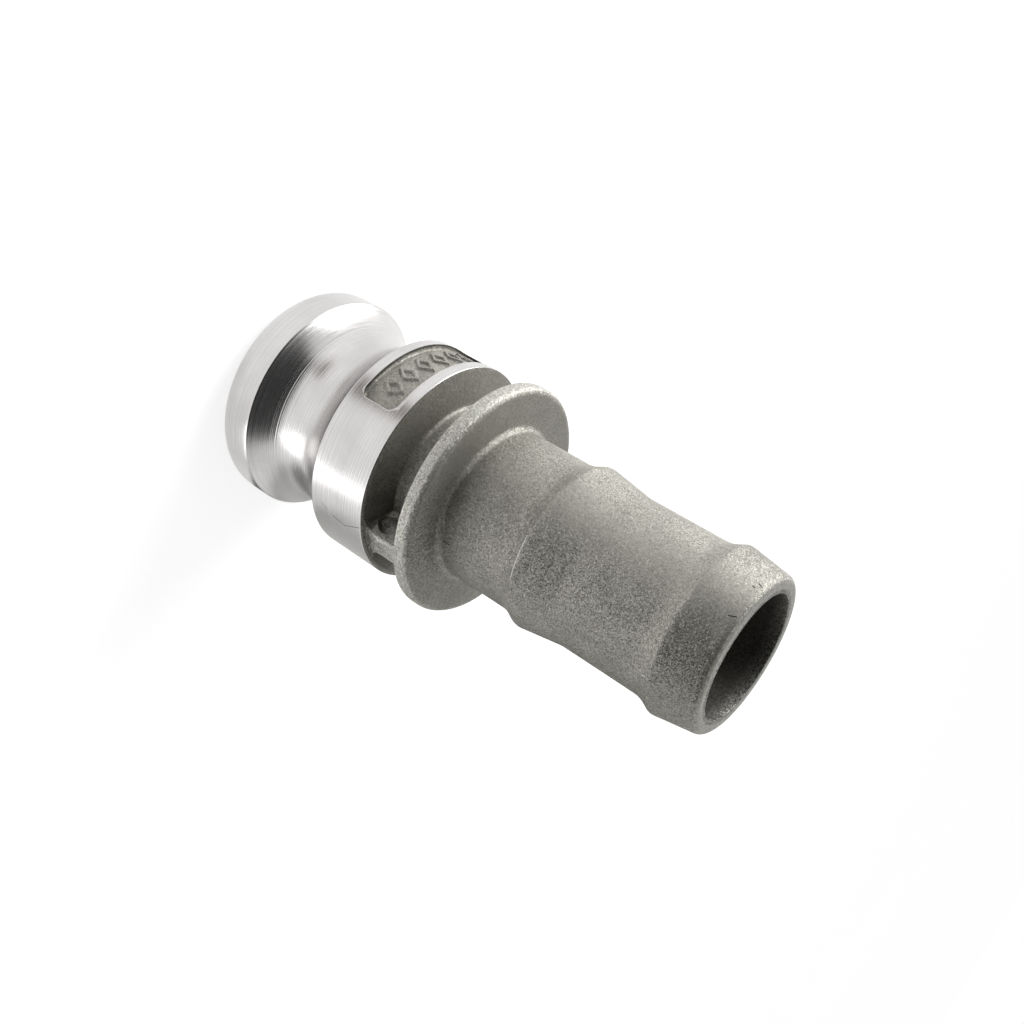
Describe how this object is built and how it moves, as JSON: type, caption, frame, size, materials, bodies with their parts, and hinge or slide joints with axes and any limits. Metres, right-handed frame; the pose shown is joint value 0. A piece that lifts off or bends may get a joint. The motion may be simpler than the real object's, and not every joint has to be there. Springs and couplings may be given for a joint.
{
  "type": "cam and groove hose adapter",
  "caption": "Male half of a cam and groove coupling: turned head with a round groove, collar with an eye, flange, and a barbed hose shank with a through passage.",
  "frame": {"origin": "centre of the nose face, on which the adapter stands", "axes": "+Z along the adapter's axis from the nose to the hose mouth, +X towards the eye between collar and flange"},
  "size_m": [0.048, 0.048, 0.1116],
  "materials": {
    "aluminium": "sand-cast all over, with the head, the groove and the collar turned bright"
  },
  "bodies": {
    "root": {"hose_adapter": "aluminium"}
  },
  "joints": []
}
